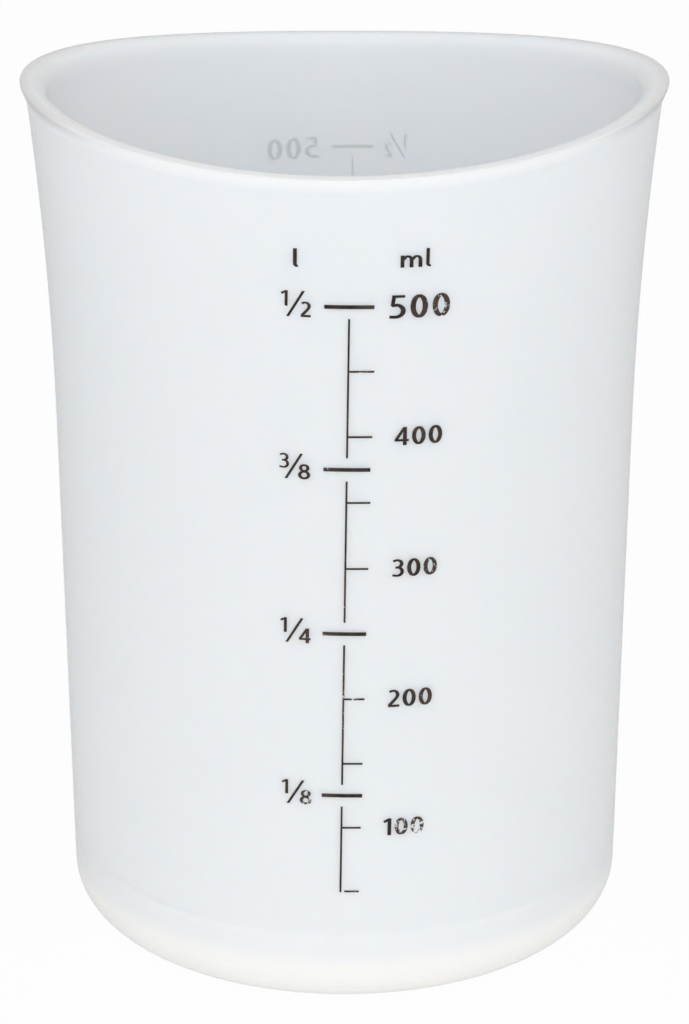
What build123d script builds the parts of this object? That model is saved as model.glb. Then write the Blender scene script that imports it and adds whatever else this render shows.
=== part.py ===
"""Flexible half-litre mixing cup in translucent silicone, with a printed scale on two sides.

Millimetres. The origin is the centre of the base on the surface that the cup stands on,
+Z is up, and the front scale faces -Y.
"""
from build123d import *
from math import cos, pi, radians, sin, sqrt, tan
import os

# Outer wall: a straight drafted side, then a flare that opens ever wider towards the rim
base_radius = 42.0  # the drafted side carried down to the table
flare_start_radius = 43.25
flare_start_height = 80.0
rim_radius = 46.3  # outer wall at the mean height of the rim
rim_height = 128.9  # mean height of the rim
wall = 3.0
base_edge_round = 7.3

# Rim: the left and right sides stand higher than the front and the back
rim_rise = 1.9  # height of the sides above the mean, and of the front and back below it
lip_overhang = 0.65
lip_depth = 2.0
lip_edge_share = 0.35  # of the overhang, for the broken outer edges of the lip
rim_round_share = 0.75  # of the wall, for the rim's inner edge, rounded by three narrow flats

# Floor: thick, with a shallow recess below that leaves a foot ring to stand on
floor_height = 9.2  # inside floor above the table
floor_corner_round = 4.0
foot_ring_width = 5.5  # flat part of the ring that stands on the table
recess_depth = 2.2
recess_taper = 40.0  # degrees that the side of the recess leans inwards

# Scale, in shares of a litre: a bar on each eighth, a tick on each twentieth
litre_edge = 100.0  # a litre fills a cube of this edge
bar_step_share = 0.125
tick_step_share = 0.05
full_scale_share = 0.5
fill_layer = 0.05  # depth of the thin layers that fill the cup in the sums below
scale_rim_gap = 6.0  # least distance between the highest mark and the underside of the lip

# Print: ink films on the wall, longer towards the rim, all leaning the same way
ink_thickness = 0.18
ink_seat_gap = 0.08  # keeps the curved faces of the ink and the wall from running into each other
bar_thickness = 0.55
line_width = 0.28
bar_length_at_table = 5.35
bar_length_at_rim = 7.1
tick_length_at_table = 2.3
tick_length_at_rim = 3.75
spine_bar_gap = 1.45  # bare wall between a bar and the spine
first_tick_gap = 0.4  # bare wall between the spine and the lowest tick
print_lean = 0.8  # degrees that the top of the print leans to the right
lean_height = 62.0  # height at which the leaning spine crosses the middle of the cup
rear_print_turn = 177.5  # degrees round the cup from the front print to the rear print

round_flats = 3  # narrow flats that stand for each round at the foot of the wall
overrun = 5.0  # how far blanks and cuts run past the finished cup

# How far the flare has carried the rim outside the line of the drafted side
draft_share = (flare_start_radius - base_radius) / flare_start_height
flare_height = rim_height - flare_start_height
flare_gain = rim_radius - flare_start_radius - draft_share * flare_height

rim_top = rim_height + rim_rise
rim_low = rim_height - rim_rise
blank_top = rim_top + overrun
rim_drop = rim_top - rim_low
arch_radius = (rim_radius**2 + rim_drop**2) / (rim_drop + rim_drop)
reach = rim_radius + lip_overhang + overrun
recess_radius = base_radius - base_edge_round - foot_ring_width
recess_lean = recess_depth * tan(radians(recess_taper))

# Flats that touch a quarter round: one across its middle, then one at each end of that
rim_round = wall * rim_round_share
middle_flat_share = 2 - sqrt(2)
outer_flat_share = sqrt(2) - 1 - tan(pi / 16)

scale_top = rim_low - lip_depth - scale_rim_gap


def outer_radius(height):
    """Radius of the outer wall at a height: the drafted side, then a parabola for the flare."""
    above_flare = max(height - flare_start_height, 0)
    return base_radius + draft_share * height + flare_gain * (above_flare / flare_height) ** 2


def inner_radius(height):
    """Radius of the inside at a height, with the round corner where the wall meets the floor."""
    side = outer_radius(height) - wall
    corner_drop = max(floor_height + floor_corner_round - height, 0)
    if corner_drop == 0:
        return side
    return side - floor_corner_round + sqrt(max(floor_corner_round**2 - corner_drop**2, 0))


def fill_height(litre_share):
    """Height that a share of a litre reaches in the cup, filled in thin layers."""
    to_fill = litre_share * litre_edge**3
    height = floor_height
    while to_fill > 0:
        height += fill_layer
        to_fill -= pi * inner_radius(height) ** 2 * fill_layer
    return height


def round_points(corner, size):
    """Ends of the narrow flats that stand for a quarter round at the foot of a wall."""
    turn = pi / 2 / (round_flats + 1)  # from one flat to the next
    spread = size / cos(turn / 2)
    centre = (corner[0] - size, corner[1] + size)
    angles = [turn * (count + 0.5) for count in range(round_flats + 1)]
    return [(centre[0] + spread * sin(a), centre[1] - spread * cos(a)) for a in angles]


def wall_profile(inset, bottom, top, corner_round=0):
    """Face between the axis and the outer wall moved inwards, for a revolve about Z."""
    corner = (outer_radius(bottom + corner_round) - inset, bottom)
    foot = round_points(corner, corner_round) if corner_round > 0 else [corner]
    flare = (flare_start_radius - inset, flare_start_height)
    upper = (outer_radius(top) - inset, top)
    # The tangents at the two ends of a parabola meet halfway up it
    half_height = (top - flare_start_height) / 2
    control = (flare[0] + draft_share * half_height, flare_start_height + half_height)
    with BuildSketch(Plane.XZ) as profile:
        with BuildLine():
            Polyline((0, top), (0, bottom), *foot, flare)
            Bezier(flare, control, upper)
            Line(upper, (0, top))
        make_face()
    return profile.sketch


def below_arch(lowering):
    """Everything under the wide cylinder along X that the rim lies on, moved down."""
    with BuildPart() as arch:
        with BuildSketch(Plane.YZ):
            with Locations((0, rim_top - lowering - arch_radius)):
                Circle(arch_radius)
        extrude(amount=reach, both=True)
    return arch.part


# Lip: the outer wall moved outwards, above an arch that runs below the rim
with BuildPart() as lip_blank:
    revolve(wall_profile(-lip_overhang, 0, blank_top), Axis.Z)
    add(below_arch(lip_depth), mode=Mode.SUBTRACT)

# Cup body: wall, floor, foot ring and lip, moulded in one piece
with BuildPart() as cup_body:
    revolve(wall_profile(0, 0, blank_top, base_edge_round), Axis.Z)
    add(lip_blank.part)
    cavity = wall_profile(wall, floor_height, blank_top + overrun, floor_corner_round)
    revolve(cavity, Axis.Z, mode=Mode.SUBTRACT)

    # The recess underneath
    with BuildSketch(Plane.XZ):
        with BuildLine():
            roof_rim = (recess_radius - recess_lean, recess_depth)
            Polyline((0, 0), (recess_radius, 0), roof_rim, (0, recess_depth), close=True)
        make_face()
    revolve(axis=Axis.Z, mode=Mode.SUBTRACT)

    # The rim and the underside of the lip are the two faces that lie on wide cylinders
    add(below_arch(0), mode=Mode.INTERSECT)
    lip_underside, rim_face = faces().filter_by(GeomType.CYLINDER).sort_by(Axis.Z)
    lip_edges = rim_face.outer_wire().edges() + lip_underside.outer_wire().edges()
    chamfer(rim_face.inner_wires()[0].edges(), rim_round * middle_flat_share)
    middle_flat = faces().filter_by(GeomType.BSPLINE)[0]
    chamfer(middle_flat.edges(), rim_round * outer_flat_share)
    chamfer(lip_edges, lip_overhang * lip_edge_share)

# Ink skin: the thin space over the outer wall that every printed mark is cut from
with BuildPart() as ink_skin:
    revolve(wall_profile(-ink_seat_gap - ink_thickness, 0, blank_top), Axis.Z)
    revolve(wall_profile(-ink_seat_gap, 0, blank_top), Axis.Z, mode=Mode.SUBTRACT)


def steps_up_to(full, step):
    """Every multiple of a step from one step up to the full value."""
    return [step * count for count in range(1, int(full / step * 1.001) + 1)]


def below_lip(shares):
    """Heights of these shares of a litre, without those that would reach the lip."""
    return [fill_height(share) for share in shares if fill_height(share) < scale_top]


def grown(at_table, at_rim, height):
    """Length of a mark at a height, between its lengths at the table and at the rim."""
    return at_table + (at_rim - at_table) * height / rim_height


bar_shares = steps_up_to(full_scale_share, bar_step_share)
tick_shares = steps_up_to(full_scale_share, tick_step_share)
bar_heights = below_lip(bar_shares)
tick_heights = [height for height in below_lip(tick_shares) if height not in bar_heights]
first_tick = tick_heights[0]


def print_plane(turn):
    """Plane that a print is drawn on, so many degrees round the cup from the front one.

    The print leans about the point where its spine crosses the middle of the cup.
    """
    facing = (sin(radians(turn)), -cos(radians(turn)), 0)
    across = cos(radians(print_lean))
    right = (-facing[1] * across, facing[0] * across, -sin(radians(print_lean)))
    return Plane((0, 0, lean_height), x_dir=right, z_dir=facing)


os.makedirs("parts", exist_ok=True)
cup_body.part.label = "cup_body"
export_step(cup_body.part, "parts/cup_body.step")

# The same scale is printed on the front and on the rear
for side, turn in (("front", 0), ("rear", rear_print_turn)):
    with BuildPart() as bars:
        with BuildSketch(print_plane(turn)):
            for height in bar_heights:
                with Locations((0, height - lean_height)):
                    Rectangle(grown(bar_length_at_table, bar_length_at_rim, height), bar_thickness)
        extrude(amount=reach)
        add(ink_skin.part, mode=Mode.INTERSECT)

    with BuildPart() as ticks:
        with BuildSketch(print_plane(turn)):
            for height in tick_heights:
                gap = first_tick_gap if height == first_tick else 0
                length = grown(tick_length_at_table, tick_length_at_rim, height) - gap
                with Locations((line_width / 2 + gap, height - lean_height)):
                    Rectangle(length, line_width, align=(Align.MIN, Align.CENTER))
        extrude(amount=reach)
        add(ink_skin.part, mode=Mode.INTERSECT)

    # One length of spine from the lowest tick to the first bar, then one between each two bars
    with BuildPart() as spine:
        with BuildSketch(print_plane(turn)):
            lower_end = first_tick - line_width / 2
            for height in bar_heights:
                upper_end = height - bar_thickness / 2 - spine_bar_gap
                with Locations((0, lower_end - lean_height)):
                    Rectangle(line_width, upper_end - lower_end, align=(Align.CENTER, Align.MIN))
                lower_end = height + bar_thickness / 2 + spine_bar_gap
        extrude(amount=reach)
        add(ink_skin.part, mode=Mode.INTERSECT)

    for kind, marks in (("bars", bars), ("ticks", ticks), ("spine", spine)):
        marks.part.label = f"{side}_scale_{kind}"
        export_step(marks.part, f"parts/{side}_scale_{kind}.step")
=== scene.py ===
"""Studio scene of a flexible half-litre mixing cup in translucent silicone.

Laid out as a Blender add-on and run as a script. Sizes are in metres, in the frame of the
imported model: +Z up, the cup stands on Z = 0 and its front scale faces -Y.
"""
from math import atan2, ceil, cos, hypot, pi, radians, sin, tan

import bmesh
import bpy
from bpy.props import FloatProperty, FloatVectorProperty, IntProperty, PointerProperty
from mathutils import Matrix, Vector
from mathutils.geometry import delaunay_2d_cdt


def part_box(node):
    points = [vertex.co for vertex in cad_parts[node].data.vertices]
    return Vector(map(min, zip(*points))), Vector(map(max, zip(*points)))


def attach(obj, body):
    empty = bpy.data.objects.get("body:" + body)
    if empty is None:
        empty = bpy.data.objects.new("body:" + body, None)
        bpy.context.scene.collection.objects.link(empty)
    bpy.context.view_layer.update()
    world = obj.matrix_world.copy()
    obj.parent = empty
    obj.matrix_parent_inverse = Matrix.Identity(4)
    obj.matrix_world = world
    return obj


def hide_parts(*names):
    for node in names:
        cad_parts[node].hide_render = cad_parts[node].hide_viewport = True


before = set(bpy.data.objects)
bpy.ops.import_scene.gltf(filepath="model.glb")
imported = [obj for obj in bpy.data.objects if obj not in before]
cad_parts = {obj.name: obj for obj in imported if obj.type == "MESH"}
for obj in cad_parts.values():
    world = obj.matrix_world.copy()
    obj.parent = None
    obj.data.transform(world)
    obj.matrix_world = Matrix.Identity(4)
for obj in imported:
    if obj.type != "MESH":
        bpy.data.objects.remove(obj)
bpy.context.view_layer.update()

bl_info = {
    "name": "Silicone Mixing Cup",
    "version": (1, 0, 0),
    "blender": (4, 5, 0),
    "location": "View3D > Sidebar > Mixing Cup",
    "description": "Builds a translucent silicone mixing cup with a printed scale front and rear",
    "category": "Object",
}

MM = 0.001
CUP_NODE = "cup_body"
SCALE_KINDS = ("bars", "ticks", "spine")
SIDES = ("front", "rear")


def length(name, millimetres, description):
    """A length property, given in millimetres and stored in metres."""
    return FloatProperty(
        name=name, description=description, default=millimetres * MM, min=0.0,
        unit="LENGTH", precision=5,
    )


def angle(name, degrees, description):
    """An angle property, given in degrees and stored in radians."""
    return FloatProperty(
        name=name, description=description, default=radians(degrees), subtype="ANGLE",
    )


def share(name, value, description, top=1.0):
    """A plain number property between nothing and its top value."""
    return FloatProperty(name=name, description=description, default=value, min=0.0, max=top)


def colour(name, value, description):
    """A colour property in linear light."""
    return FloatVectorProperty(
        name=name, description=description, default=value, subtype="COLOR", size=3,
        min=0.0, max=1.0,
    )


class CupSizes(bpy.types.PropertyGroup):
    """Sizes of the moulded cup."""
    base_radius: length("Base Radius", 42.0, "Drafted side of the cup carried down to the table")
    flare_start_radius: length("Flare Start Radius", 43.25, "Outer radius where the flare starts")
    flare_start_height: length("Flare Start Height", 80.0, "Height where the side starts to flare")
    rim_radius: length("Rim Radius", 46.3, "Outer radius of the wall at the rim's mean height")
    rim_top: length("Rim Top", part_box(CUP_NODE)[1].z / MM, "Height of the rim's two high sides")
    rim_rise: length("Rim Rise", 1.9, "Height of the rim's sides above its mean height")
    wall: length("Wall", 3.0, "Thickness of the wall")
    lip_overhang: length("Lip Overhang", 0.63, "How far the lip stands out from the wall")
    lip_side: length("Lip Side", 0.3, "Height of the lip's upright side")
    lip_depth: length("Lip Depth", 2.4, "Height from the rim down to where the lip meets the wall")
    lip_edge_round: length("Lip Edge Round", 0.1, "Rounds of the lip's outer edge")
    lip_bevel: length("Lip Bevel", 0.2, "Fine bevel between the lip's side and its hollow")
    # Painted shade: width of the grey line along the lip's outer edge
    lip_shade_width: length("Lip Shade Width", 0.3, "How far in from its edge the lip is greyer")
    lip_root_round: length("Lip Root Round", 2.4, "Hollow that runs the lip softly into the wall")
    rim_round: length("Rim Round", 2.25, "Round of the rim's inner edge")
    floor_height: length("Floor Height", 9.2, "Inside floor above the table")
    floor_corner_round: length("Floor Corner Round", 4.0, "Round where the inside meets the floor")
    base_edge_round: length("Base Edge Round", 7.3, "Round of the cup's lower outer edge")
    foot_ring_width: length("Foot Ring Width", 5.5, "Flat ring that the cup stands on")
    recess_depth: length("Recess Depth", 2.2, "Depth of the shallow recess underneath")
    recess_edge_round: length("Recess Edge Round", 0.8, "Round of the recess's mouth and roof")
    lip_front: share("Lip Front", 0.45, "Share of the lip's overhang that is left at the front")
    # The next three paint light: a milkier rim looks brighter, less so at the rear, and a milkier
    # lower wall looks brighter towards the table
    rim_painted_light: share("Rim Painted Light", 0.85, "How milky the rim looks beside the solid floor")
    rim_rear_light: share("Rim Rear Light", 0.3, "Share of the rim's milkiness that is left at the rear")
    wall_painted_light: share("Wall Painted Light", 0.5, "How milky the wall grows towards the floor")
    recess_taper: angle("Recess Taper", 40.0, "Lean of the side of the recess")
    ring_spacing: length("Ring Spacing", 2.4, "Distance between the rings of the plain wall")
    facets: IntProperty(name="Facets", description="Facets round the cup", default=320, min=24)


class SiliconeFinish(bpy.types.PropertyGroup):
    """Finish of the translucent silicone."""
    body: colour("Body Colour", (0.913, 0.948, 1.0), "Milky colour of the thin wall")
    cloud: colour("Cloud Colour", (0.895, 0.935, 0.998), "Colour of the wall's faint clouding")
    # Colour of the solid floor; on the rim and the lower wall the same colour is painted light
    solid: colour("Solid Colour", (0.900, 0.893, 0.862), "Milky colour of the floor and the rim")
    # Painted shade: a grey line along the lip's thin outer edge, standing in for the darker edge
    # that refraction gives there
    edge: colour("Edge Shade Colour", (0.50, 0.50, 0.51), "Colour along the thin outer edge of the lip")
    reach: length("Light Reach", 3.2, "How far light spreads inside the silicone")
    clearness: share("Clearness", 0.27, "Share of light that goes straight through the thin wall")
    solid_clearness: share("Solid Clearness", 0.04, "The same share at the floor and the rim")
    roughness: share("Roughness", 0.235, "Roughness of the satin outside")
    inside_roughness: share("Inside Roughness", 0.13, "Roughness of the smoother inside")


class PrintSizes(bpy.types.PropertyGroup):
    """Sizes and colours of the printed scale."""
    lift: length("Ink Lift", 0.012, "Gap that keeps the ink clear of the faceted wall")
    film: length("Ink Film", 0.03, "Thickness of the ink")
    lean: angle("Lean", 0.8, "How far the top of the print leans to the right")
    lean_height: length("Lean Height", 62.0, "Height at which the spine crosses the cup's middle")
    rear_turn: angle("Rear Turn", 177.5, "Turn round the cup from the front print to the rear one")
    numeral_height: length("Numeral Height", 2.68, "Height of the numerals")
    full_numeral_height: length("Full Numeral Height", 3.4, "Height of the topmost numeral")
    fraction_height: length("Fraction Height", 2.24, "Height of the digits in the fractions")
    unit_height: length("Unit Height", 2.65, "Height of the letter l in the unit signs")
    unit_rise: length("Unit Rise", 5.6, "Feet of the unit signs above the full bar")
    ink: colour("Ink", (0.010, 0.006, 0.006), "Ink where it lies thick")
    thin_ink: colour("Thin Ink", (0.060, 0.036, 0.026), "Ink where it is worn thin")


class StudioSettings(bpy.types.PropertyGroup):
    """Camera, lamps and surroundings."""
    camera_back: length("Camera Distance", 500.0, "Camera in front of the cup's axis")
    camera_height: length("Camera Height", 246.8, "Camera above the table")
    camera_pitch: angle("Camera Pitch", 20.2, "How far the camera looks down")
    lens: FloatProperty(name="Lens", description="Focal length", default=123.0, unit="CAMERA")
    key_power: FloatProperty(name="Key Power", description="Soft lamp in front", default=1.3)
    top_power: FloatProperty(name="Top Power", description="Soft lamp overhead", default=0.52)
    tent_front: share("Tent Front", 1.12, "Brightness of the light tent in front of the cup", 2.0)
    tent_back: share("Tent Back", 0.36, "Brightness of the light tent behind the cup", 2.0)
    tent_top: share("Tent Top", 0.95, "Brightness of the tent overhead beside its sides", 2.0)
    tent: colour("Tent", (0.945, 0.965, 1.0), "Colour of the light tent")
    table: colour("Table", (0.93, 0.93, 0.92), "Colour of the pale table")
    table_glow: share("Table Glow", 0.53, "Share of the table's light that comes up through it")
    backdrop: share("Backdrop", 0.61, "Brightness of table and tent in gloss and through the cup")


# Node helpers


def add_node(tree, kind, **given):
    """A new node with its settings, named in lower case, and its inputs, named with capitals."""
    node = tree.nodes.new(kind)
    for name, value in given.items():
        if name.islower():
            setattr(node, name, value)
        else:
            put(tree, node.inputs[name.replace("_", " ")], value)
    return node


def put(tree, socket, value):
    """Links a socket or a field, or sets a plain value."""
    if isinstance(value, Field):
        value = value.socket
    if isinstance(value, bpy.types.NodeSocket):
        tree.links.new(value, socket)
    else:
        socket.default_value = value


def summing(operation):
    """A method that works one operation on a field and another field or a number."""
    return lambda field, other: calculate(operation, field, other)


class Field:
    """A socket that plain sums can be written with: each adds a math node to the socket's tree."""
    __add__, __sub__, __mul__ = summing("ADD"), summing("SUBTRACT"), summing("MULTIPLY")
    __truediv__, __pow__, __gt__ = summing("DIVIDE"), summing("POWER"), summing("GREATER_THAN")

    def __init__(self, socket):
        self.socket = socket

    def __rsub__(self, other):
        return calculate("SUBTRACT", other, self)


def calculate(operation, *values):
    """Field that a math node works out from fields or numbers."""
    tree = next(value.socket.id_data for value in values if isinstance(value, Field))
    node = add_node(tree, "ShaderNodeMath", operation=operation)
    for socket, value in zip(node.inputs, values):
        put(tree, socket, value)
    return Field(node.outputs[0])


def fields(node):
    """The outputs of a node by name, ready for sums."""
    return {socket.name: Field(socket) for socket in node.outputs}


def add_vectors(tree, first, second):
    """Vector socket with the sum of two vectors."""
    node = add_node(tree, "ShaderNodeVectorMath", operation="ADD")
    put(tree, node.inputs[0], first)
    put(tree, node.inputs[1], second)
    return node.outputs[0]


def combine(tree, **parts):
    """A vector socket from X, Y and Z, each a field or a number."""
    return add_node(tree, "ShaderNodeCombineXYZ", **parts).outputs[0]


def separate(tree, vector):
    """The X, Y and Z fields of a vector socket."""
    return fields(add_node(tree, "ShaderNodeSeparateXYZ", Vector=vector))


def ramp(value, low, high, to_low=0.0, to_high=1.0, smooth=True):
    """A field mapped from one range to another, held at its ends."""
    tree = value.socket.id_data
    node = add_node(
        tree, "ShaderNodeMapRange", interpolation_type="SMOOTHSTEP" if smooth else "LINEAR",
        Value=value, From_Min=low, From_Max=high, To_Min=to_low, To_Max=to_high)
    return Field(node.outputs[0])


def new_geometry_tree(name, inputs):
    """A Geometry Nodes tree with named inputs after its geometry, and the fields they give."""
    tree = bpy.data.node_groups.new(name, "GeometryNodeTree")
    tree.interface.new_socket(name="Geometry", in_out="INPUT", socket_type="NodeSocketGeometry")
    tree.interface.new_socket(name="Geometry", in_out="OUTPUT", socket_type="NodeSocketGeometry")
    for label, kind in inputs:
        tree.interface.new_socket(name=label, in_out="INPUT", socket_type="NodeSocket" + kind)
    return tree, fields(tree.nodes.new("NodeGroupInput"))


def named_field(tree, name, kind="FLOAT"):
    """Field with what the mesh keeps under a name."""
    node = add_node(tree, "GeometryNodeInputNamedAttribute", data_type=kind, Name=name)
    return Field(node.outputs[0])


def keep_field(tree, geometry, name, value, kind="FLOAT"):
    """Geometry that keeps a field under a name."""
    node = add_node(
        tree, "GeometryNodeStoreNamedAttribute", data_type=kind, Geometry=geometry, Name=name,
        Value=value)
    return node.outputs[0]


def end_tree(tree, geometry, material):
    """Ends a tree in real geometry of one material."""
    real = add_node(tree, "GeometryNodeRealizeInstances", Geometry=geometry)
    coated = add_node(
        tree, "GeometryNodeSetMaterial", Geometry=real.outputs[0], Material=material)
    output = tree.nodes.new("NodeGroupOutput")
    tree.links.new(coated.outputs[0], output.inputs["Geometry"])
    return tree


def new_object(name, data):
    """A new object in the scene."""
    thing = bpy.data.objects.new(name, data)
    bpy.context.scene.collection.objects.link(thing)
    return thing


def run_nodes(name, mesh, tree, values):
    """A new object whose mesh is what the tree makes of the given mesh, with no modifier left."""
    piece = new_object(name, mesh)
    modifier = piece.modifiers.new("Shape", "NODES")
    modifier.node_group = tree
    for item in tree.interface.items_tree:
        if item.in_out == "INPUT" and item.name in values:
            modifier[item.identifier] = values[item.name]
    bpy.context.view_layer.update()
    shaped = piece.evaluated_get(bpy.context.evaluated_depsgraph_get())
    result = bpy.data.meshes.new_from_object(shaped)
    piece.modifiers.clear()
    piece.data = result
    result.name = name
    if not result.polygons:
        raise RuntimeError(f"{name} came out empty")
    return piece


# Materials

# Waves to a metre of the textures in the silicone and in the ink
CLOUD_WAVES, SATIN_WAVES, GRAIN_WAVES = 38.0, 900.0, 2600.0
BLOTCH_WAVES, SPECK_WAVES = 700.0, 2400.0

# What parts of the noise are stretched over a whole change
CLOUD_RANGE, FINE_RANGE, THIN_INK_RANGE = (0.35, 0.65), (0.3, 0.7), (0.42, 0.95)
SATIN_SPREAD, INK_ROUGHNESS = (-0.025, 0.03), (0.45, 0.65)
GRAIN_STRENGTH, GRAIN_DEPTH = 0.12, 0.02 * MM
SILICONE_IOR = 1.41
RED_REACH, GREEN_REACH, BLUE_REACH = 1.0, 0.86, 0.74  # how far each light spreads, in shares
SPECK_SHARE = 0.62  # of the wear's pattern, beside the larger blotches
SPECK_CRISPNESS = 14.0
WHOLE_INK, WORN_INK = 0.12, 0.66  # level that the pattern must rise above to hold ink
WEAR_THINNING = 0.75


def new_material(name):
    """A material with an empty tree, its tree and its output node."""
    material = bpy.data.materials.new(name)
    material.use_nodes = True
    material.node_tree.nodes.clear()
    return material, material.node_tree, material.node_tree.nodes.new("ShaderNodeOutputMaterial")


def new_material_once(name, make, settings):
    """A material by name, made the first time that it is asked for."""
    return bpy.data.materials.get(name) or make(settings)


def noise(tree, place, waves, detail=3.0, roughness=0.5):
    """Value of a noise texture at a place, with so many waves to a metre."""
    node = add_node(
        tree, "ShaderNodeTexNoise", Vector=place, Scale=waves, Detail=detail,
        Roughness=roughness)
    return Field(node.outputs["Fac"])


def stored_value(tree, name):
    """What the mesh keeps under a name, in a material."""
    return Field(add_node(tree, "ShaderNodeAttribute", attribute_name=name).outputs["Fac"])


def mix_colours(tree, factor, first, second):
    """Colour between two, where each is a socket or three numbers."""
    node = add_node(tree, "ShaderNodeMix", data_type="RGBA", Factor=factor)
    for socket, value in ((node.inputs["A"], first), (node.inputs["B"], second)):
        put(tree, socket, value if isinstance(value, bpy.types.NodeSocket) else (*value, 1.0))
    return node.outputs["Result"]


def principled(tree, output, **given):
    """A principled surface, linked to the material's output."""
    surface = add_node(tree, "ShaderNodeBsdfPrincipled", **given)
    tree.links.new(surface.outputs[0], output.inputs["Surface"])


def silicone_material(finish):
    """Milky translucent silicone: light spreads inside it, and a little goes straight through. A
    grey line along the lip's edge is painted shade, and a milkier rim and lower wall are painted
    light.
    """
    material, tree, output = new_material("milky_silicone")
    place = tree.nodes.new("ShaderNodeTexCoord").outputs["Object"]
    # solid is one at the solid floor, and on the rim and the lower wall it carries painted light
    solid = stored_value(tree, "solid")
    clouds = ramp(noise(tree, place, CLOUD_WAVES), *CLOUD_RANGE)
    thin = mix_colours(tree, clouds, finish.body, finish.cloud)
    milk = mix_colours(tree, solid, thin, finish.solid)
    mould = ramp(
        stored_value(tree, "inside"), 0.0, 1.0, finish.roughness, finish.inside_roughness,
        smooth=False)
    satin = ramp(noise(tree, place, SATIN_WAVES, 4.0), *FINE_RANGE, *SATIN_SPREAD)
    bump = add_node(
        tree, "ShaderNodeBump", Strength=GRAIN_STRENGTH, Distance=GRAIN_DEPTH,
        Height=noise(tree, place, GRAIN_WAVES))
    clear = ramp(solid, 0.0, 1.0, finish.clearness, finish.solid_clearness, smooth=False)
    # Light that is already inside the silicone leaves it without being scattered once more
    leaving = tree.nodes.new("ShaderNodeNewGeometry").outputs["Backfacing"]
    principled(
        tree, output, subsurface_method="RANDOM_WALK",
        # Painted shade: the grey line along the lip's outer edge
        Base_Color=mix_colours(tree, stored_value(tree, "edge"), milk, finish.edge),
        Transmission_Weight=calculate("MAXIMUM", clear, leaving),
        Roughness=mould + satin, Normal=bump.outputs["Normal"],
        IOR=SILICONE_IOR, Specular_IOR_Level=0.4, Subsurface_Weight=1.0,
        Subsurface_Radius=(RED_REACH, GREEN_REACH, BLUE_REACH), Subsurface_Scale=finish.reach,
    )
    return material


def ink_material(sizes):
    """Pad-printed ink: dark brown-black, thinner in places, and worn through in specks."""
    material, tree, output = new_material("brown_black_ink")
    place = tree.nodes.new("ShaderNodeTexCoord").outputs["Object"]
    wear = stored_value(tree, "wear")
    blotches = noise(tree, place, BLOTCH_WAVES, roughness=0.6)
    specks = noise(tree, place, SPECK_WAVES, roughness=0.6)
    thinness = ramp(wear * WEAR_THINNING + blotches, *THIN_INK_RANGE)
    # Ink is left where the specks rise above a level that the wear lifts
    level = ramp(wear, 0.0, 1.0, WHOLE_INK, WORN_INK, smooth=False)
    pattern = specks * SPECK_SHARE + blotches * (1.0 - SPECK_SHARE)
    principled(
        tree, output, Base_Color=mix_colours(tree, thinness, sizes.ink, sizes.thin_ink),
        Alpha=ramp((pattern - level) * SPECK_CRISPNESS, 0.0, 1.0),
        Roughness=ramp(specks, *FINE_RANGE, *INK_ROUGHNESS), Specular_IOR_Level=0.35,
    )
    return material


# Section of the cup

ROUND_CHORD = 0.35 * MM  # longest run along a round of the section
ROUND_TURN = radians(12.0)  # most that the section turns from one run to the next
STRAIGHT = radians(89.0)  # a corner whose half is wider gets no round
FLARE_STEPS = 16  # straight runs that the flare is made of
FLOOR_FADE = (-1.2 * MM, 0.9 * MM)  # about the floor's level, where the outside turns solid
# Where the rim's painted light starts below the rim, outside and inside, and where it is full
RIM_FADE_OUTSIDE, RIM_FADE_INSIDE, RIM_FADE_END = 2.5 * MM, 3.5 * MM, 0.4 * MM  # below the rim
SMOOTH_START, SMOOTH_FULL = 4.0 * MM, 12.0 * MM  # below the rim, for the smoother inside
INSIDE_FROM = 0.9  # of the wall's thickness in from the outside
ROOF_MARGIN = 1.0 * MM  # above the recess underneath, which isn't inside
BEND_START, BEND_END = 0.45, 0.92  # shares of the height between which the arch takes hold
SETTLING_ROUNDS = 3  # enough for the lowered rim to settle within a thousandth of a millimetre

# Where a change starts and is full round the cup: -1 is the front and 1 the rear
# The edge fade is for the painted shade line along the lip, the rim fade for the rim's painted
# light
LIP_FADE, EDGE_SHADE_FADE, RIM_FADE = (-0.3, -0.9), (-0.8, -0.3), (0.3, 0.95)


def draft(sizes):
    """How much the straight side widens in a length upwards."""
    return (sizes.flare_start_radius - sizes.base_radius) / sizes.flare_start_height


def outer_radius(sizes, height):
    """Radius of the outer wall: a drafted side, then a parabola for the flare."""
    above = max(height - sizes.flare_start_height, 0.0) / flare_height(sizes)
    return sizes.base_radius + draft(sizes) * height + flare_gain(sizes) * above**2


def flare_height(sizes):
    """Height of the flare up to the mean height of the rim."""
    return sizes.rim_top - sizes.rim_rise - sizes.flare_start_height


def flare_gain(sizes):
    """How far the flare has carried the rim outside the line of the drafted side."""
    return sizes.rim_radius - sizes.flare_start_radius - draft(sizes) * flare_height(sizes)


def arch_radius(sizes):
    """Radius of the wide cylinder along X that the rim lies on."""
    drop = 2.0 * sizes.rim_rise
    return (sizes.rim_radius**2 + drop**2) / (2.0 * drop)


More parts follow.
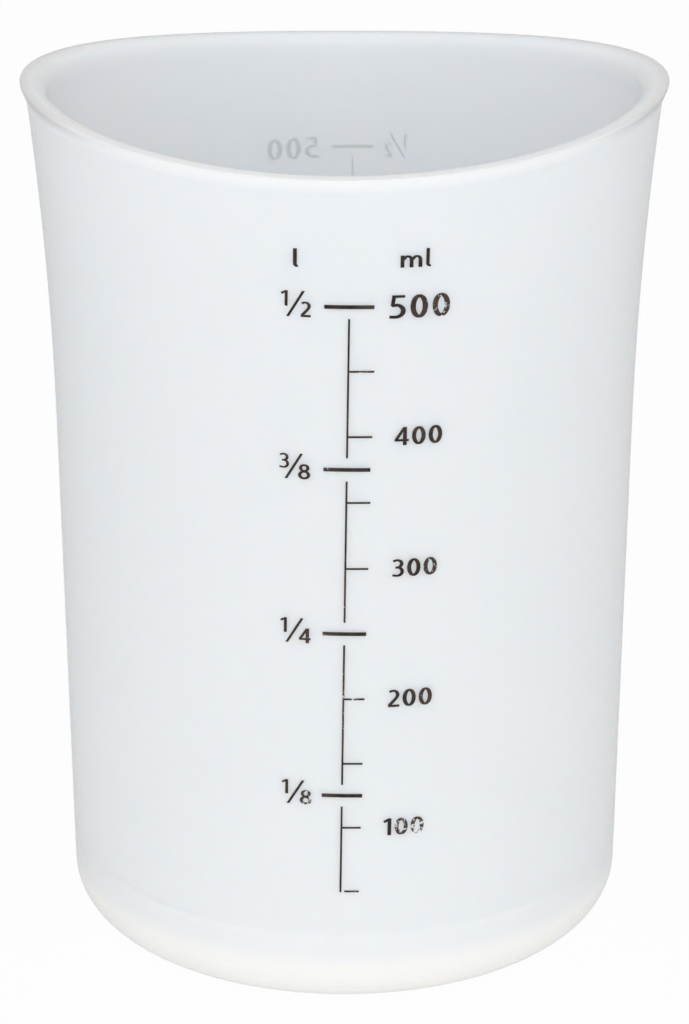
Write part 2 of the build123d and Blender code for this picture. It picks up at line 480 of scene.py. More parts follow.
def rounded(corners, spacing):
    """Points along a polyline with rounds at its corners and long runs divided.

    corners holds (radius, height, round) for each corner.
    """
    points = []

    def run_to(end):
        start = points[-1]
        distance = hypot(end[0] - start[0], end[1] - start[1])
        steps = max(1, ceil(distance / spacing))
        for step in range(1, steps + 1):
            part = step / steps
            points.append(tuple(a + (b - a) * part for a, b in zip(start, end)))

    points.append(corners[0][:2])
    for before, corner, after in zip(corners, corners[1:], corners[2:]):
        here, size = Vector(corner[:2]), corner[2]
        back = (Vector(before[:2]) - here).normalized()
        ahead = (Vector(after[:2]) - here).normalized()
        half = back.angle(ahead) / 2.0
        if size == 0.0 or half > STRAIGHT:
            run_to(tuple(here))
            continue
        centre = here + (back + ahead).normalized() * (size / sin(half))
        first = here + back * (size / tan(half))
        last = here + ahead * (size / tan(half))
        run_to(tuple(first))
        start = atan2(first.y - centre.y, first.x - centre.x)
        turn = (atan2(last.y - centre.y, last.x - centre.x) - start + pi) % (2.0 * pi) - pi
        steps = max(4, ceil(abs(turn) * size / ROUND_CHORD), ceil(abs(turn) / ROUND_TURN))
        for step in range(1, steps + 1):
            angle = start + turn * step / steps
            points.append((centre.x + size * cos(angle), centre.y + size * sin(angle)))
    run_to(corners[-1][:2])
    return points


def cup_section(sizes):
    """Points from the middle of the underside, up the outside, over the rim and down inside."""
    ring_outer = sizes.base_radius - sizes.base_edge_round
    recess = ring_outer - sizes.foot_ring_width
    lean = sizes.recess_depth * tan(sizes.recess_taper)
    top = sizes.rim_top
    lip_foot = top - sizes.lip_depth
    lip, bevel = sizes.lip_overhang, sizes.lip_bevel

    def outside(height, inset=0.0, size=0.0):
        return (outer_radius(sizes, height) - inset, height, size)

    flare = [
        sizes.flare_start_height + (lip_foot - sizes.flare_start_height) * step / FLARE_STEPS
        for step in range(FLARE_STEPS)
    ]
    corners = [
        (0.0, sizes.recess_depth, 0.0),
        (recess - lean, sizes.recess_depth, sizes.recess_edge_round),
        (recess, 0.0, sizes.recess_edge_round),
        (outer_radius(sizes, sizes.base_edge_round), 0.0, sizes.base_edge_round),
        *(outside(height) for height in flare),
        outside(lip_foot, 0.0, sizes.lip_root_round),
        outside(top - sizes.lip_side - bevel, bevel / 3.0 - lip),
        outside(top - sizes.lip_side, -lip, sizes.lip_edge_round),
        outside(top, -lip, sizes.lip_edge_round),
        outside(top, bevel - lip),
        outside(top, sizes.wall, sizes.rim_round),
        *(outside(height, sizes.wall) for height in reversed(flare)),
        outside(sizes.floor_height, sizes.wall, sizes.floor_corner_round),
        (0.0, sizes.floor_height, 0.0),
    ]
    return rounded(corners, sizes.ring_spacing)


def store(mesh, name, values):
    """Keeps a number or a vector for each vertex of a mesh under a name."""
    if isinstance(values[0], float):
        mesh.attributes.new(name, "FLOAT", "POINT").data.foreach_set("value", values)
    else:
        flat = [part for vector in values for part in vector]
        mesh.attributes.new(name, "FLOAT_VECTOR", "POINT").data.foreach_set("vector", flat)


def section_mesh(sizes):
    """The section as a line of vertices, with what each needs to know of its place."""
    points = cup_section(sizes)
    mesh = bpy.data.meshes.new("cup_section")
    runs = [(index, index + 1) for index in range(len(points) - 1)]
    mesh.from_pydata([(radius, 0.0, level) for radius, level in points], runs, [])
    places = [(outer_radius(sizes, level) - radius, level) for radius, level in points]
    store(mesh, "inset", [inset for inset, _ in places])
    store(mesh, "height", [level for _, level in places])
    for name, worked_out in (("solid", solid_and_painted_light), ("edge", lip_edge_shade), ("inside", smoothness)):
        store(mesh, name, [worked_out(sizes, *place) for place in places])
    return mesh


def smooth_step(value, low, high):
    """Nothing below the low value, one above the high value, and a soft run between them."""
    part = min(max((value - low) / (high - low), 0.0), 1.0)
    return part * part * (3.0 - 2.0 * part)


def solid_and_painted_light(sizes, inset, level):
    """How milky a point of the section is made: at the floor for solid silicone, up the wall and
    at the rim as painted light.

    It is one at the floor, falls slowly up the wall to nothing so that the lower wall looks
    brighter, and grows again at the rim so that the rim looks brighter.
    """
    floor, top = sizes.floor_height, sizes.rim_top
    lower_wall_light = sizes.wall_painted_light * (1.0 - level / top)
    if inset < sizes.wall / 2.0:
        below = 1.0 - smooth_step(level - floor, *FLOOR_FADE)
        rim = smooth_step(level, top - RIM_FADE_OUTSIDE, top - RIM_FADE_END)
    else:
        below = 1.0 - smooth_step(level - floor, 0.0, sizes.floor_corner_round)
        rim = smooth_step(level, top - RIM_FADE_INSIDE, top - RIM_FADE_END)
    return max(lower_wall_light + (1.0 - lower_wall_light) * below, sizes.rim_painted_light * rim)


def lip_edge_shade(sizes, inset, level):
    """Painted shade: one on the outer edge of the lip, fading to nothing across the grey line's
    width.
    """
    lip, line = sizes.lip_overhang, sizes.lip_shade_width
    return smooth_step(-inset, lip - line, lip - line / 3.0)


def smoothness(sizes, inset, level):
    """One on the smoother inside, fading to nothing towards the rim, and nothing outside."""
    if inset < INSIDE_FROM * sizes.wall or level < sizes.recess_depth + ROOF_MARGIN:
        return 0.0
    return smooth_step(sizes.rim_top - level, SMOOTH_START, SMOOTH_FULL)


def wall_radius(given, height):
    """Field with the outer wall's radius at a height, from the tree's named inputs."""
    above = calculate("MAXIMUM", height - given["Flare Start"], 0.0)
    flare = (above / given["Flare Height"]) ** 2.0 * given["Flare Gain"]
    return height * given["Draft"] + given["Base Radius"] + flare


def bent(given, height, inset, along):
    """Fields with the radius and the height of a point once the rim is bent along the arch."""
    bend = ramp(height, given["Bend Start"], given["Bend End"])
    arch = given["Arch Radius"]
    level = height
    # The radius depends on the lowered height and the other way round: a few rounds settle both
    for _ in range(SETTLING_ROUNDS):
        reach = (wall_radius(given, level) - inset) * along
        drop = arch - calculate("SQRT", arch ** 2.0 - reach ** 2.0)
        level = height - drop * bend
    return wall_radius(given, level) - inset, level


def cup_tree():
    """Turns the section into the whole cup, and lowers the rim's front and rear along an arch."""
    tree, given = new_geometry_tree("cup_from_section", [
        *((name, "Float") for name in (
            "Base Radius", "Draft", "Flare Start", "Flare Height", "Flare Gain", "Arch Radius",
            "Bend Start", "Bend End", "Lip Front", "Rim Rear Light",
        )),
        ("Facets", "Int"), ("Material", "Material"),
    ])
    section = given["Geometry"]
    total = fields(add_node(
        tree, "GeometryNodeAttributeDomainSize", Geometry=section))["Point Count"]
    # The grid has a row for each facet and a column for each point of the section
    grid = add_node(
        tree, "GeometryNodeMeshGrid", Vertices_X=given["Facets"] + 1.0, Vertices_Y=total)
    index = fields(tree.nodes.new("GeometryNodeInputIndex"))["Index"]
    row = calculate("FLOOR", (index + 0.5) / total)
    column = index - row * total

    def sampled(name):
        node = add_node(
            tree, "GeometryNodeSampleIndex", data_type="FLOAT", Geometry=section,
            Value=named_field(tree, name), Index=column)
        return Field(node.outputs[0])

    inset, height = sampled("inset"), sampled("height")
    angle = row * (2.0 * pi) / given["Facets"]
    across, along = calculate("COSINE", angle), calculate("SINE", angle)

    # Towards the front the lip stands out less
    lost = calculate("MINIMUM", inset, 0.0) * ramp(along, *LIP_FADE, 0.0, 1.0 - given["Lip Front"])
    radius, level = bent(given, height, inset - lost, along)
    shaped = add_node(
        tree, "GeometryNodeSetPosition", Geometry=grid.outputs["Mesh"],
        Position=combine(tree, X=radius * across, Y=radius * along, Z=level))

    # Towards the front the painted shade line along the lip's edge fades out, and at the rear the
    # rim's painted light is weaker
    rear = ramp(along, *RIM_FADE) * (height > given["Bend End"])
    rim_light_share = ramp(rear, 0.0, 1.0, 1.0, given["Rim Rear Light"], smooth=False)
    marked = shaped.outputs[0]
    for name, factor in (("solid", rim_light_share), ("edge", ramp(along, *EDGE_SHADE_FADE)), ("inside", 1.0)):
        marked = keep_field(tree, marked, name, sampled(name) * factor)
    closed = add_node(
        tree, "GeometryNodeMergeByDistance", Geometry=marked, Distance=0.002 * MM)
    smooth = add_node(tree, "GeometryNodeSetShadeSmooth", Geometry=closed.outputs[0])
    return end_tree(tree, smooth.outputs[0], given["Material"])


# Printed scale

RAY_START = 1.0  # m in front of the print
MARK_COLUMNS, MARK_ROWS = 19, 5  # vertices of a mark, so that it bends with the wall
WEAR_REACH = 0.05, 0.5  # from the worn spot, where its wear starts to fall and has fallen
WEAR_LEFT = 0.3  # share of the wear at the far end of a mark

# Each mark's wear from the lowest up, and where along it the wear is worst
MARK_WEAR = {
    "bars": [(0.46, -0.5), (0.56, -0.5), (0.52, -0.45), (0.42, 0.5)],
    "ticks": [
        (0.60, 0.2), (0.50, 0.0), (0.50, 0.3), (0.62, 0.0),
        (0.50, 0.4), (0.45, 0.0), (0.35, 0.4), (0.62, 0.1),
    ],
    "spine": [(0.30, 0.5), (0.56, 0.06), (0.45, -0.4), (0.40, -0.3)],
}


def wrap_tree(name):
    """A tree with the inputs that a printed piece needs to lie on the wall."""
    return new_geometry_tree(name, [
        ("Cup", "Object"), ("Lift", "Float"), ("Film", "Float"), ("Lean", "Float"),
        ("Lean Height", "Float"), ("Turn", "Float"), ("Material", "Material"),
    ])


def wrap_nodes(tree, given, flat):
    """Thickens a flat print, leans it, lays it on the cup's wall and turns it to its side.

    The flat print lies in the XZ plane and faces -Y: X runs to the right and Z is its height.
    """
    face = add_node(
        tree, "GeometryNodeExtrudeMesh", mode="FACES", Mesh=flat, Offset_Scale=1.0,
        Offset=combine(tree, Y=given["Film"] * -1.0), Individual=False)
    back = add_node(tree, "GeometryNodeFlipFaces", Mesh=flat)
    both = tree.nodes.new("GeometryNodeJoinGeometry")
    for part in (face, back):
        tree.links.new(part.outputs["Mesh"], both.inputs[0])
    solid = add_node(
        tree, "GeometryNodeMergeByDistance", Geometry=both.outputs[0], Distance=0.001 * MM)

    spot = separate(tree, tree.nodes.new("GeometryNodeInputPosition").outputs[0])
    leaning = add_node(
        tree, "ShaderNodeVectorRotate", rotation_type="Y_AXIS",
        Vector=combine(tree, X=spot["X"], Z=spot["Z"]),
        Center=combine(tree, Z=given["Lean Height"]), Angle=given["Lean"])
    cup = add_node(
        tree, "GeometryNodeObjectInfo", transform_space="ORIGINAL", Object=given["Cup"])
    # Rays from well in front of the cup find its wall
    before = add_vectors(tree, leaning.outputs[0], (0.0, -RAY_START, 0.0))
    hit = add_node(
        tree, "GeometryNodeRaycast", Target_Geometry=cup.outputs["Geometry"],
        Source_Position=before, Ray_Direction=(0.0, 1.0, 0.0), Ray_Length=2.0 * RAY_START)
    off_wall = add_node(
        tree, "ShaderNodeVectorMath", operation="SCALE", Vector=hit.outputs["Hit Normal"],
        Scale=spot["Y"] * -1.0 + given["Lift"])
    on_wall = add_vectors(tree, hit.outputs["Hit Position"], off_wall.outputs[0])
    turned = add_node(
        tree, "ShaderNodeVectorRotate", rotation_type="Z_AXIS", Vector=on_wall,
        Angle=given["Turn"])
    laid = add_node(
        tree, "GeometryNodeSetPosition", Geometry=solid.outputs[0],
        Position=turned.outputs[0])
    return end_tree(tree, laid.outputs[0], given["Material"])


def marks_tree():
    """One mark on each point, as long and as thick as the point says, laid on the wall."""
    tree, given = wrap_tree("printed_marks")
    size = named_field(tree, "size", "FLOAT_VECTOR")
    shape = add_node(
        tree, "GeometryNodeMeshGrid", Vertices_X=MARK_COLUMNS, Vertices_Y=MARK_ROWS)
    upright = add_node(
        tree, "GeometryNodeTransform", Geometry=shape.outputs["Mesh"],
        Rotation=(pi / 2.0, 0.0, 0.0))
    here = tree.nodes.new("GeometryNodeInputPosition").outputs[0]
    mark = keep_field(tree, upright.outputs[0], "spot", here, "FLOAT_VECTOR")
    marks = add_node(
        tree, "GeometryNodeInstanceOnPoints", Points=given["Geometry"], Instance=mark,
        Scale=size)
    real = add_node(tree, "GeometryNodeRealizeInstances", Geometry=marks.outputs[0])

    # A mark is worn most at one spot along it, given in shares of its length from its middle
    spot = separate(tree, named_field(tree, "spot", "FLOAT_VECTOR"))
    extent = separate(tree, size)
    along = ramp(extent["X"] > extent["Z"], 0.0, 1.0, spot["Z"], spot["X"], smooth=False)
    away = calculate("ABSOLUTE", along - named_field(tree, "worn_at"))
    wear = named_field(tree, "wear") * ramp(away, *WEAR_REACH, 1.0, WEAR_LEFT)
    return wrap_nodes(tree, given, keep_field(tree, real.outputs[0], "wear", wear))


def lettering_tree():
    """Lays flat lettering on the wall."""
    tree, given = wrap_tree("printed_lettering")
    return wrap_nodes(tree, given, given["Geometry"])


def unlean(point, sizes):
    """Place of a point of the front print in its own upright plane, as (right, height)."""
    right, up = point.x, point.z - sizes.lean_height
    back = cos(sizes.lean), sin(sizes.lean)
    return right * back[0] - up * back[1], right * back[1] + up * back[0] + sizes.lean_height


def islands(node):
    """Corner points of each loose solid in a CAD node."""
    work = bmesh.new()
    work.from_mesh(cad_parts[node].data)
    bmesh.ops.remove_doubles(work, verts=work.verts, dist=0.001 * MM)
    left, found = set(work.verts), []
    while left:
        group, front = [], [left.pop()]
        while front:
            vertex = front.pop()
            group.append(vertex.co.copy())
            for neighbour in (e.other_vert(vertex) for e in vertex.link_edges):
                if neighbour in left:
                    left.remove(neighbour)
                    front.append(neighbour)
        found.append(group)
    work.free()
    return found


def printed_marks(kind, sizes):
    """(middle, size) of each mark of the front scale, in the print's own plane, from the CAD."""
    marks = []
    for group in islands(f"front_scale_{kind}"):
        flat = [unlean(point, sizes) for point in group]
        spans = [(min(values), max(values)) for values in zip(*flat)]
        marks.append((
            [(low + high) / 2.0 for low, high in spans], [high - low for low, high in spans]))
    return sorted(marks, key=lambda mark: mark[0][1])


def marks_mesh(kind, marks):
    """A point for each mark with its size, its wear and the spot where it is worn most."""
    mesh = bpy.data.meshes.new(f"{kind}_points")
    mesh.from_pydata([(x, 0.0, z) for (x, z), _ in marks], [], [])
    wear = MARK_WEAR[kind]
    store(mesh, "size", [(wide, 1.0, high) for _, (wide, high) in marks])
    store(mesh, "wear", [amount for amount, _ in wear])
    store(mesh, "worn_at", [spot for _, spot in wear])
    return mesh


# Lettering, drawn in shares of its height


def bow(centre, reach, start, end, steps=18):
    """Points along part of an ellipse, with its angles in degrees."""
    angles = [radians(start + (end - start) * step / steps) for step in range(steps + 1)]
    return [(centre[0] + reach[0] * cos(a), centre[1] + reach[1] * sin(a)) for a in angles]


GLYPHS = {
    # Width, then strokes: each is (points, share of the pen)
    "0": (0.70, [(bow((0.35, 0.5), (0.245, 0.432), 0, 360, 36), 1.0)]),
    "1": (0.46, [([(0.335, 0.0), (0.335, 1.0)], 0.92), ([(0.34, 0.955), (0.03, 0.80)], 0.95)]),
    "2": (0.64, [
        (bow((0.29, 0.705), (0.245, 0.232), 138, -22) + [(0.44, 0.48), (0.085, 0.085)], 0.88),
        ([(0.03, 0.065), (0.635, 0.065)], 1.0),
    ]),
    "3": (0.63, [
        ([(0.05, 0.885)] + bow((0.27, 0.735), (0.225, 0.20), 105, -75), 0.9),
        ([(0.17, 0.525), (0.34, 0.53)], 0.9),
        (bow((0.27, 0.295), (0.262, 0.232), 75, -95) + [(0.02, 0.10)], 0.9),
    ]),
    "4": (0.74, [
        ([(0.50, 0.965), (0.055, 0.275)], 0.78), ([(0.0, 0.275), (0.735, 0.275)], 0.95),
        ([(0.53, 0.0), (0.53, 1.0)], 0.92),
    ]),
    "5": (0.68, [
        ([(0.145, 0.94), (0.645, 0.94)], 0.85), ([(0.205, 0.985), (0.15, 0.54)], 0.72),
        ([(0.12, 0.555)] + bow((0.235, 0.325), (0.345, 0.265), 72, -80) + [(0.03, 0.075)], 0.95),
    ]),
    "8": (0.72, [
        (bow((0.36, 0.745), (0.225, 0.195), 0, 360, 30), 0.85),
        (bow((0.36, 0.285), (0.275, 0.225), 0, 360, 30), 0.9),
    ]),
    "l": (0.32, [
        ([(0.09, 1.0), (0.09, 0.19)] + bow((0.21, 0.19), (0.12, 0.135), 180, 290, 8), 0.92),
    ]),
    "m": (1.14, [
        ([(0.11, 0.0), (0.11, 0.655)], 0.92), ([(0.575, 0.0), (0.575, 0.40)], 0.92),
        ([(1.03, 0.0), (1.03, 0.40)], 0.92),
        ([(0.12, 0.42)] + bow((0.385, 0.40), (0.19, 0.20), 150, 0, 10), 0.88),
        ([(0.585, 0.42)] + bow((0.845, 0.40), (0.185, 0.20), 150, 0, 10), 0.88),
    ]),
}
GLYPH_GAP, BIG_GLYPH_GAP = 0.16, 0.19
PEN_UPRIGHT, PEN_LEVEL = 0.215, 0.130  # width of the pen's upright and its level strokes
UPPER_PEN, LOWER_PEN = 0.92, 1.08  # the pen of the upper and the lower digit of a fraction
ML_PEN = 0.9  # the pen of the l in ml
BEND_COLUMN = 0.4 * MM  # width of the columns in which lettering bends round the wall

# Rows of the lettering: word, number of its mark from the lowest, left end in mm, wear
NUMERALS = (
    ("100", 1, 6.02, (0.15, 0.55, 0.60)), ("200", 3, 6.28, (0.2, 0.25, 0.45)),
    ("300", 4, 6.55, (0.1, 0.25, 0.50)), ("400", 6, 6.54, (0.25, 0.35, 0.35)),
)
FULL_NUMERAL = ("500", 5.38, (0.1, 0.4, 0.5))
FULL_NUMERAL_DROP = 0.05  # mm, and so are the places below
FRACTIONS = (
    ("18", -8.69, (0.25, 0.5, 0.2)), ("14", -9.08, (0.1, 0.45, 0.35)),
    ("38", -9.39, (0.3, 0.15, 0.2)), ("12", -9.34, (0.2, 0.2, 0.15)),
)
FRACTION_DROP = 1.6  # foot of the lower digit below the middle of the bar
UPPER_DIGIT_RISE, LOWER_DIGIT_SHIFT = 1.5, 2.68
SLASH_FOOT, SLASH_HEAD = 0.95, 3.1  # right of the fraction's left end
SLASH_RISE, SLASH_WIDTH = 3.75, 0.40
UNIT_SIGNS = (("l", -7.69, 1.0), ("m", 6.81, 1.0), ("l", 10.32, ML_PEN))
UNIT_WEAR = 0.15


def pen_faces(points, weight, pen):
    """Corner points and four-sided faces of a pen stroke along points."""
    closed = hypot(points[0][0] - points[-1][0], points[0][1] - points[-1][1]) < 1e-6
    spots, faces = [], []
    last = len(points) - 1
    for index, (x, y) in enumerate(points):
        before = points[index - 1] if index else points[-2 if closed else 0]
        after = points[index + 1] if index < last else points[1 if closed else last]
        way = Vector((after[0] - before[0], after[1] - before[1])).normalized()
        half = pen * weight * hypot(PEN_UPRIGHT * way.y, PEN_LEVEL * way.x) / 2.0
        spots += [(x - way.y * half, y + way.x * half), (x + way.y * half, y - way.x * half)]
    for first in range(0, 2 * last, 2):
        faces.append([first, first + 1, first + 3, first + 2])
    return spots, faces


def glyph_outline(strokes, pen):
    """The strokes of a glyph joined into one flat set of triangles."""
    spots, faces = [], []
    for points, weight in strokes:
        new_spots, new_faces = pen_faces(points, weight, pen)
        faces += [[i + len(spots) for i in face] for face in new_faces]
        spots += new_spots
    flat = delaunay_2d_cdt([Vector(s) for s in spots], [], faces, 1, 1e-5)
    return flat[0], [tri for tri, source in zip(flat[2], flat[5]) if source]


def write_word(word, left, foot, height, wear, pen=1.0, gap=GLYPH_GAP):
    """Flat triangles of a word, each glyph with its wear: [(points, triangles, wear), ...]."""
    made, x = [], left
    for letter, worn in zip(word, wear):
        width, strokes = GLYPHS[letter]
        points, triangles = glyph_outline(strokes, pen)
        made.append(([(x + p.x * height, foot + p.y * height) for p in points], triangles, worn))
        x += (width + gap) * height
    return made


def write_fraction(digits, left, foot, height, wear):
    """Flat triangles of a fraction: its two digits and the slash with level ends between them."""
    lower = left + LOWER_DIGIT_SHIFT * MM
    made = write_word(digits[0], left, foot + UPPER_DIGIT_RISE * MM, height, wear[:1], UPPER_PEN)
    made += write_word(digits[1], lower, foot, height, wear[1:2], LOWER_PEN)
    half, head = SLASH_WIDTH * MM / 2.0, foot + SLASH_RISE * MM
    low, high = left + SLASH_FOOT * MM, left + SLASH_HEAD * MM
    points = [(low - half, foot), (low + half, foot), (high + half, head), (high - half, head)]
    return made + [(points, [(0, 1, 2), (0, 2, 3)], wear[2])]


def all_words(sizes, bars, ticks):
    """Flat triangles of all lettering by kind, beside bars and ticks at these heights."""
    full = bars[-1]
    small, big, unit = sizes.numeral_height, sizes.full_numeral_height, sizes.unit_height
    numerals, fractions, signs = [], [], []
    for word, tick, left, wear in NUMERALS:
        numerals += write_word(word, left * MM, ticks[tick] - small / 2.0, small, wear)
    word, left, wear = FULL_NUMERAL
    foot = full - big / 2.0 - FULL_NUMERAL_DROP * MM
    numerals += write_word(word, left * MM, foot, big, wear, gap=BIG_GLYPH_GAP)
    for bar, (digits, left, wear) in zip(bars, FRACTIONS):
        foot = bar - FRACTION_DROP * MM
        fractions += write_fraction(digits, left * MM, foot, sizes.fraction_height, wear)
    for letter, left, pen in UNIT_SIGNS:
        signs += write_word(letter, left * MM, full + sizes.unit_rise, unit, (UNIT_WEAR,), pen)
    return {"numerals": numerals, "fractions": fractions, "unit_signs": signs}


def lettering_mesh(name, words):
    """Flat words as one mesh in the XZ plane facing -Y, cut into columns so that it can bend."""
    work = bmesh.new()
    layer = work.verts.layers.float.new("wear")
    for points, triangles, worn in words:
        spots = [work.verts.new((x, 0.0, z)) for x, z in points]
        for spot in spots:
            spot[layer] = worn
        for triangle in triangles:
            work.faces.new([spots[index] for index in triangle])
    lone = [vertex for vertex in work.verts if not vertex.link_faces]
    bmesh.ops.delete(work, geom=lone, context="VERTS")
    bmesh.ops.recalc_face_normals(work, faces=work.faces)
    flipped = [face for face in work.faces if face.normal.y > 0.0]
    bmesh.ops.reverse_faces(work, faces=flipped)
    low = min(vertex.co.x for vertex in work.verts)
    high = max(vertex.co.x for vertex in work.verts)
    for step in range(1, int((high - low) / BEND_COLUMN) + 1):
        bmesh.ops.bisect_plane(
            work, geom=[*work.verts, *work.edges, *work.faces], dist=1e-7,
            plane_co=(low + step * BEND_COLUMN, 0.0, 0.0), plane_no=(1.0, 0.0, 0.0),
        )
    mesh = bpy.data.meshes.new(name)
    work.to_mesh(mesh)
    work.free()
    return mesh


# Finished pieces


def finish_piece(piece, slot_name, *nodes):
    """Rides a piece on the cup, and lets it stand for CAD nodes, which it hides."""
    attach(piece, "root")
    if nodes:
        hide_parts(*nodes)


def print_piece(name, side, mesh, tree, sizes, *nodes):
    """Lays flat ink on one side of the cup, to stand for these CAD nodes."""
    piece = run_nodes(f"{side}_print_{name}", mesh, tree, {
        "Cup": bpy.data.objects["silicone_cup"], "Lift": sizes.lift, "Film": sizes.film,
        "Lean": sizes.lean, "Lean Height": sizes.lean_height,
        "Turn": sizes.rear_turn if side == "rear" else 0.0,
        "Material": new_material_once("brown_black_ink", ink_material, sizes),
    })
    finish_piece(piece, "ink", *nodes)


# Stage, in metres

KEY_PLACE, KEY_SIZE = (0.0, -0.82, 0.46), 0.7
TOP_PLACE, TOP_SIZE = (0.0, 0.05, 0.9), 0.9
LAMP_TARGET = (0.0, 0.0, 0.06)
CLIP = 0.01, 20.0
TABLE_RADIUS = 4.0
TABLE_GAP = 0.02 * MM  # below the foot ring, so that the two faces don't meet
TABLE_WHITE = 0.94  # share of plain white in the table that the camera sees: the rest is shaded
ROOF_START = 0.3  # how far up the tent its roof starts: 1 is straight overhead
WHITE = (1.0, 1.0, 1.0, 1.0)


def backdrop_nodes(tree, plain, white, white_share, unseen_share, level):
    """Mixes a plain surface or tent with the white backdrop that the camera sees.

    Gloss and light through the cup see the backdrop at the level instead of at full white.
    """
    path = fields(tree.nodes.new("ShaderNodeLightPath"))
    through = calculate("MAXIMUM", path["Is Glossy Ray"], path["Is Transmission Ray"])
    seen = calculate("MAXIMUM", path["Is Camera Ray"], through)
    put(tree, white.inputs["Strength"], ramp(through, 0.0, 1.0, 1.0, level, smooth=False))
    mixed = tree.nodes.new("ShaderNodeMixShader")
    put(tree, mixed.inputs[0], ramp(seen, 0.0, 1.0, unseen_share, white_share))
    tree.links.new(plain.outputs[0], mixed.inputs[1])
    tree.links.new(white.outputs[0], mixed.inputs[2])
    return mixed.outputs[0]


# Operators


class MIXINGCUP_OT_mould_cup(bpy.types.Operator):
    """Mould the silicone cup: wall, flared rim with its lip, floor and foot ring"""
    bl_idname = "mixing_cup.mould_cup"
    bl_label = "Mould Cup"

    def execute(self, context):
        sizes = context.scene.cup_sizes
        finish = context.scene.silicone_finish
        piece = run_nodes("silicone_cup", section_mesh(sizes), cup_tree(), {
            "Base Radius": sizes.base_radius, "Draft": draft(sizes),
            "Flare Start": sizes.flare_start_height, "Flare Height": flare_height(sizes),
            "Flare Gain": flare_gain(sizes), "Arch Radius": arch_radius(sizes),
            "Bend Start": sizes.rim_top * BEND_START, "Bend End": sizes.rim_top * BEND_END,
            "Lip Front": sizes.lip_front, "Rim Rear Light": sizes.rim_rear_light, "Facets": sizes.facets,
            "Material": new_material_once("milky_silicone", silicone_material, finish),
        })
        finish_piece(piece, "silicone", CUP_NODE)
        return {"FINISHED"}


class MIXINGCUP_OT_print_marks(bpy.types.Operator):
    """Print the bars, the ticks and the spine of both scales on the wall"""
    bl_idname = "mixing_cup.print_marks"
    bl_label = "Print Scale Marks"

    def execute(self, context):
        sizes = context.scene.print_sizes
        tree = marks_tree()
        for kind in SCALE_KINDS:
            marks = printed_marks(kind, sizes)
            for side in SIDES:
                mesh = marks_mesh(kind, marks)
                print_piece(kind, side, mesh, tree, sizes, f"{side}_scale_{kind}")
        return {"FINISHED"}


class MIXINGCUP_OT_print_lettering(bpy.types.Operator):
    """Print the numerals, the fractions and the unit signs of both scales on the wall"""
    bl_idname = "mixing_cup.print_lettering"
    bl_label = "Print Lettering"

    def execute(self, context):
        sizes = context.scene.print_sizes
        bars, ticks = (
            [middle[1] for middle, _ in printed_marks(kind, sizes)] for kind in ("bars", "ticks"))
        tree = lettering_tree()
        for kind, words in all_words(sizes, bars, ticks).items():
            for side in SIDES:
                if (kind, side) != ("unit_signs", "rear"):  # the rear has none
                    mesh = lettering_mesh(f"{kind}_flat", words)
                    print_piece(kind, side, mesh, tree, sizes)
        return {"FINISHED"}


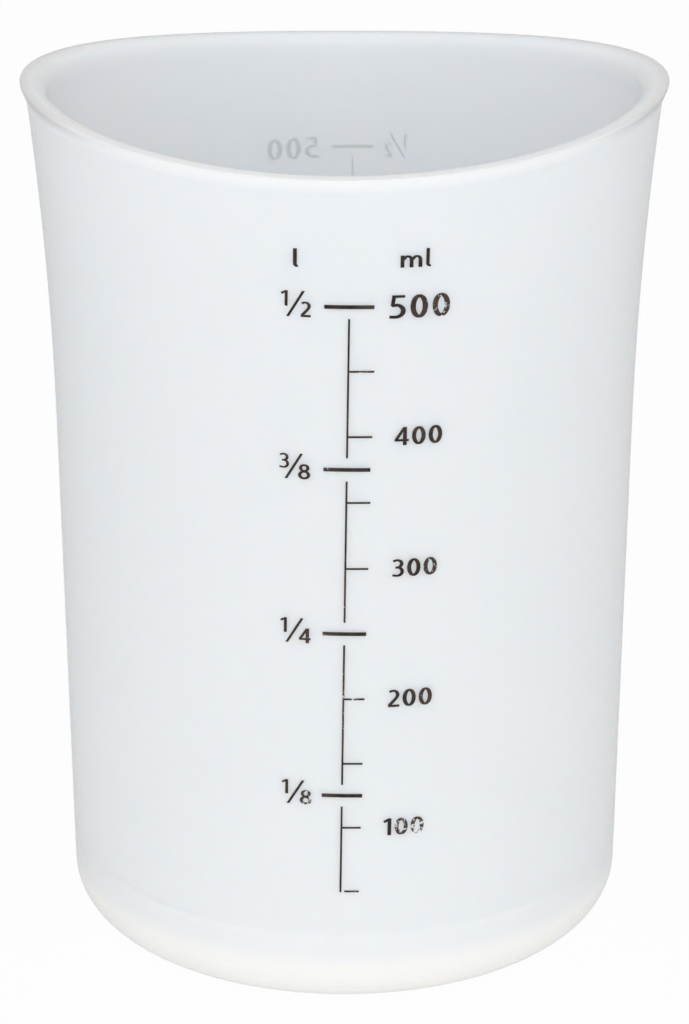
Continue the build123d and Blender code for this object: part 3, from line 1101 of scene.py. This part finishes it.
class MIXINGCUP_OT_set_stage(bpy.types.Operator):
    """Set up the camera, the pale table, the light tent and the soft lamps"""
    bl_idname = "mixing_cup.set_stage"
    bl_label = "Set Stage"

    def execute(self, context):
        studio = context.scene.studio_settings
        scene = context.scene
        scene.view_settings.view_transform = "Standard"
        scene.camera = self.camera(studio)
        scene.world = self.tent(studio)
        self.table(studio)
        self.lamp("key_lamp", KEY_PLACE, KEY_SIZE, studio.key_power)
        self.lamp("top_lamp", TOP_PLACE, TOP_SIZE, studio.top_power)
        return {"FINISHED"}

    def camera(self, studio):
        lens = bpy.data.cameras.new("photo_camera")
        lens.lens = studio.lens
        lens.clip_start, lens.clip_end = CLIP
        camera = new_object("photo_camera", lens)
        camera.location = (0.0, -studio.camera_back, studio.camera_height)
        camera.rotation_euler = (pi / 2.0 - studio.camera_pitch, 0.0, 0.0)
        return camera

    def table(self, studio):
        work = bmesh.new()
        bmesh.ops.create_circle(work, cap_ends=True, segments=96, radius=TABLE_RADIUS)
        mesh = bpy.data.meshes.new("pale_table")
        work.to_mesh(mesh)
        work.free()
        material, tree, output = new_material("pale_table")
        plain = add_node(tree, "ShaderNodeBsdfDiffuse", Color=(*studio.table, 1.0))
        glow = add_node(tree, "ShaderNodeEmission", Color=WHITE)
        put(tree, output.inputs["Surface"], backdrop_nodes(
            tree, plain, glow, TABLE_WHITE, studio.table_glow, studio.backdrop))
        mesh.materials.append(material)
        table = new_object("pale_table", mesh)
        table.location.z = -TABLE_GAP

    def tent(self, studio):
        world = bpy.data.worlds.new("light_tent")
        world.use_nodes = True
        tree = world.node_tree
        tree.nodes.clear()
        output = tree.nodes.new("ShaderNodeOutputWorld")
        way = separate(tree, tree.nodes.new("ShaderNodeTexCoord").outputs["Generated"])
        walls = ramp(way["Y"], -1.0, 1.0, studio.tent_front, studio.tent_back)
        roof = ramp(way["Z"], ROOF_START, 1.0, 1.0, studio.tent_top)
        tent = add_node(
            tree, "ShaderNodeBackground", Color=(*studio.tent, 1.0), Strength=walls * roof)
        white = add_node(tree, "ShaderNodeBackground", Color=WHITE)
        put(tree, output.inputs["Surface"], backdrop_nodes(
            tree, tent, white, 1.0, 0.0, studio.backdrop))
        return world

    def lamp(self, name, place, size, power):
        light = bpy.data.lights.new(name, "AREA")
        light.shape = "DISK"
        light.size = size
        light.energy = power
        lamp = new_object(name, light)
        lamp.location = place
        facing = Vector(LAMP_TARGET) - lamp.location
        lamp.rotation_euler = facing.to_track_quat("-Z", "Y").to_euler()


class MIXINGCUP_PT_panel(bpy.types.Panel):
    """Mixing cup tools"""
    bl_idname = "MIXINGCUP_PT_panel"
    bl_label = "Mixing Cup"
    bl_space_type = "VIEW_3D"
    bl_region_type = "UI"
    bl_category = "Mixing Cup"

    def draw(self, context):
        layout = self.layout
        for settings, operators in (
            (context.scene.cup_sizes, (MIXINGCUP_OT_mould_cup,)),
            (context.scene.silicone_finish, ()),
            (context.scene.print_sizes, (MIXINGCUP_OT_print_marks, MIXINGCUP_OT_print_lettering)),
            (context.scene.studio_settings, (MIXINGCUP_OT_set_stage,)),
        ):
            box = layout.box()
            for name in settings.__annotations__:
                box.prop(settings, name)
            for operator in operators:
                box.operator(operator.bl_idname)


SETTINGS = {
    "cup_sizes": CupSizes, "silicone_finish": SiliconeFinish,
    "print_sizes": PrintSizes, "studio_settings": StudioSettings,
}
CLASSES = (
    *SETTINGS.values(), MIXINGCUP_OT_mould_cup, MIXINGCUP_OT_print_marks,
    MIXINGCUP_OT_print_lettering, MIXINGCUP_OT_set_stage, MIXINGCUP_PT_panel,
)


def register():
    for item in CLASSES:
        bpy.utils.register_class(item)
    for name, group in SETTINGS.items():
        setattr(bpy.types.Scene, name, PointerProperty(type=group))


def unregister():
    for name in SETTINGS:
        delattr(bpy.types.Scene, name)
    for item in reversed(CLASSES):
        bpy.utils.unregister_class(item)


def main():
    register()
    bpy.ops.mixing_cup.set_stage()
    bpy.ops.mixing_cup.mould_cup()
    bpy.ops.mixing_cup.print_marks()
    bpy.ops.mixing_cup.print_lettering()


if __name__ == "__main__":
    main()
